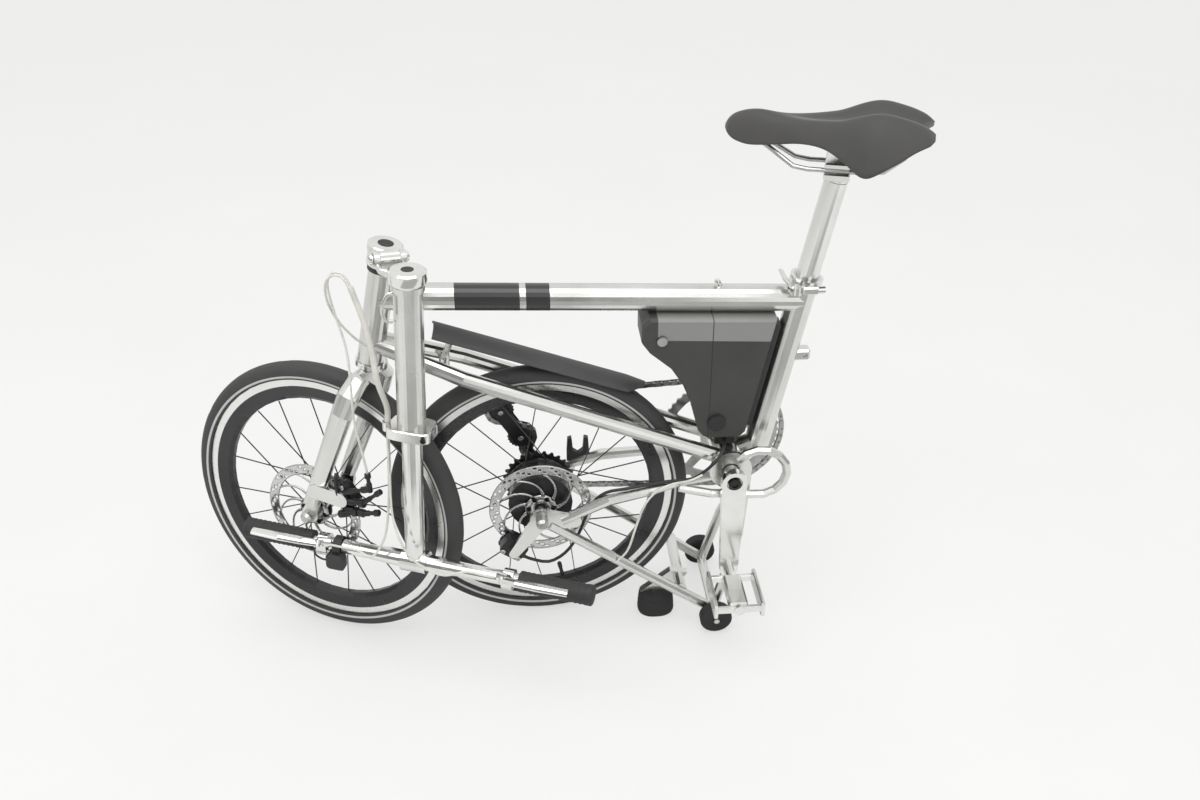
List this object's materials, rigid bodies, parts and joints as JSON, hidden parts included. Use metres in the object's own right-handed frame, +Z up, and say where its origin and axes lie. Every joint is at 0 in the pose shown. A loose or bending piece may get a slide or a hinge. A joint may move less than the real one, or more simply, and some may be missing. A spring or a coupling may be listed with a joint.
{
  "type": "folding bicycle",
  "caption": "Folding electric bicycle, folded: polished frame with rear triangle swung under it, handlebar post hinged down beside the front wheel, battery in the frame and saddle raised.",
  "frame": {"origin": "on the floor below the middle of the bicycle's outline", "axes": "+X towards the bicycle's rear, +Y towards its right (drive) side, +Z up"},
  "size_m": [1.0968, 0.409, 0.8458],
  "materials": {
    "main_frame": "polished",
    "headset_upper": "moulded",
    "headset_lower": "moulded",
    "mud_shield": "moulded",
    "battery_case": "moulded",
    "battery_lock": "bare metal",
    "battery_cap": "moulded",
    "battery_rail": "moulded",
    "battery_socket": "moulded",
    "seat_collar": "polished",
    "seat_lever": "polished",
    "seatpost": "polished",
    "saddle_clamp": "polished",
    "saddle_rails": "bare metal",
    "saddle": "soft cover",
    "rear_triangle": "polished",
    "foot_bumper": "matte",
    "rear_axle": "bare metal",
    "rear_caliper": "black anodised",
    "rear_cable": "moulded",
    "chain": "bare metal",
    "derailleur_body": "black anodised",
    "derailleur_cage": "black anodised",
    "guide_pulley": "moulded",
    "tension_pulley": "moulded",
    "roller_left": "matte",
    "roller_right": "matte",
    "rear_tyre": "matte",
    "rear_rim": "black anodised",
    "rear_hub": "black anodised",
    "rear_rotor": "bare metal",
    "cassette": "bare metal",
    "crank_axle": "bare metal",
    "left_crank": "polished",
    "right_crank": "polished",
    "chainring": "bare metal",
    "left_pedal": "polished",
    "right_pedal": "polished",
    "fork": "polished",
    "hinge_base": "polished",
    "front_axle": "bare metal",
    "front_caliper": "black anodised",
    "front_tyre": "matte",
    "front_rim": "black anodised",
    "front_hub": "black anodised",
    "front_rotor": "bare metal",
    "post_tube": "polished",
    "post_clamp": "polished",
    "handlebar": "polished",
    "left_grip": "matte",
    "right_grip": "matte",
    "left_bracket": "black anodised",
    "right_bracket": "black anodised",
    "left_lever": "polished",
    "right_lever": "polished"
  },
  "bodies": {
    "frame": {"main_frame": "main_frame", "headset_upper": "headset_upper", "headset_lower": "headset_lower", "mud_shield": "mud_shield", "battery_case": "battery_case", "battery_lock": "battery_lock", "battery_cap": "battery_cap", "battery_rail": "battery_rail", "battery_socket": "battery_socket", "seat_collar": "seat_collar"},
    "seat_lever": {"seat_lever": "seat_lever"},
    "seat": {"seatpost": "seatpost", "saddle_clamp": "saddle_clamp", "saddle_rails": "saddle_rails", "saddle": "saddle"},
    "rear_triangle": {"rear_triangle": "rear_triangle", "foot_bumper": "foot_bumper", "rear_axle": "rear_axle", "rear_caliper": "rear_caliper", "rear_cable": "rear_cable", "chain": "chain", "derailleur_body": "derailleur_body", "derailleur_cage": "derailleur_cage"},
    "guide_pulley": {"guide_pulley": "guide_pulley"},
    "tension_pulley": {"tension_pulley": "tension_pulley"},
    "roller_left": {"roller_left": "roller_left"},
    "roller_right": {"roller_right": "roller_right"},
    "rear_wheel": {"rear_tyre": "rear_tyre", "rear_rim": "rear_rim", "rear_hub": "rear_hub", "rear_rotor": "rear_rotor", "cassette": "cassette"},
    "crank": {"crank_axle": "crank_axle", "left_crank": "left_crank", "right_crank": "right_crank", "chainring": "chainring"},
    "left_pedal": {"left_pedal": "left_pedal"},
    "right_pedal": {"right_pedal": "right_pedal"},
    "fork": {"fork": "fork", "hinge_base": "hinge_base", "front_axle": "front_axle", "front_caliper": "front_caliper"},
    "front_wheel": {"front_tyre": "front_tyre", "front_rim": "front_rim", "front_hub": "front_hub", "front_rotor": "front_rotor"},
    "post": {"post_tube": "post_tube", "post_clamp": "post_clamp"},
    "bar": {"handlebar": "handlebar", "left_grip": "left_grip", "right_grip": "right_grip", "left_bracket": "left_bracket", "right_bracket": "right_bracket"},
    "left_lever": {"left_lever": "left_lever"},
    "right_lever": {"right_lever": "right_lever"}
  },
  "joints": [
    {"name": "rear_fold", "type": "hinge", "parent": "frame", "child": "rear_triangle", "pos_m": [0.28424, 0.02273, 0.291], "axis": [0, -1, 0], "range_deg": [0, 150]},
    {"name": "rear_wheel_spin", "type": "hinge", "parent": "rear_triangle", "child": "rear_wheel", "pos_m": [-0.00876, 0.02273, 0.233], "axis": [0, 1, 0], "continuous": true},
    {"name": "roller_left_spin", "type": "hinge", "parent": "rear_triangle", "child": "roller_left", "pos_m": [0.26724, -0.06327, 0.026], "axis": [0, 1, 0], "continuous": true},
    {"name": "roller_right_spin", "type": "hinge", "parent": "rear_triangle", "child": "roller_right", "pos_m": [0.26724, 0.10873, 0.026], "axis": [0, 1, 0], "continuous": true},
    {"name": "guide_pulley_spin", "type": "hinge", "parent": "rear_triangle", "child": "guide_pulley", "pos_m": [-0.03376, 0.07973, 0.303], "axis": [0, 1, 0], "continuous": true},
    {"name": "tension_pulley_spin", "type": "hinge", "parent": "rear_triangle", "child": "tension_pulley", "pos_m": [-0.06376, 0.07973, 0.353], "axis": [0, 1, 0], "continuous": true},
    {"name": "crank_spin", "type": "hinge", "parent": "frame", "child": "crank", "pos_m": [0.28424, 0.02273, 0.291], "axis": [0, 1, 0], "continuous": true},
    {"name": "left_pedal_spin", "type": "hinge", "parent": "crank", "child": "left_pedal", "pos_m": [0.28424, -0.06207, 0.121], "axis": [0, 1, 0], "continuous": true},
    {"name": "right_pedal_spin", "type": "hinge", "parent": "crank", "child": "right_pedal", "pos_m": [0.28424, 0.10753, 0.461], "axis": [0, 1, 0], "continuous": true},
    {"name": "seat_slide", "type": "slide", "parent": "frame", "child": "seat", "axis": [0.1874, 0, 0.9823], "range_m": [-0.06, 0.06]},
    {"name": "seat_lever_open", "type": "hinge", "parent": "frame", "child": "seat_lever", "pos_m": [0.36746, -0.00777, 0.58897], "axis": [0, 0, 1], "range_deg": [0, 60]},
    {"name": "steering", "type": "hinge", "parent": "frame", "child": "fork", "pos_m": [-0.24826, 0.02273, 0.491], "axis": [0.2045, 0, 0.9789], "range_deg": [-30, 0]},
    {"name": "front_wheel_spin", "type": "hinge", "parent": "fork", "child": "front_wheel", "pos_m": [-0.33813, 0.04057, 0.23206], "axis": [0.4444, 0.891, -0.0928], "continuous": true},
    {"name": "post_fold", "type": "hinge", "parent": "fork", "child": "post", "pos_m": [-0.20425, -0.02159, 0.67489], "axis": [-0.9218, -0.3658, 0.1284], "range_deg": [0, 174.2]},
    {"name": "bar_slide", "type": "slide", "parent": "post", "child": "bar", "axis": [-0.0518, -0.048, -0.9975], "range_m": [-0.01, 0.05]},
    {"name": "left_lever_pull", "type": "hinge", "parent": "bar", "child": "left_lever", "pos_m": [-0.35069, -0.05688, 0.22049], "axis": [-0.2307, -0.5654, -0.7919], "range_deg": [0, 10], "stiffness_Nm_per_rad": 0.6, "springref_deg": -2.86},
    {"name": "right_lever_pull", "type": "hinge", "parent": "bar", "child": "right_lever", "pos_m": [-0.07229, -0.15697, 0.21085], "axis": [0.2307, 0.5654, 0.7919], "range_deg": [0, 10], "stiffness_Nm_per_rad": 0.6, "springref_deg": -2.86}
  ]
}
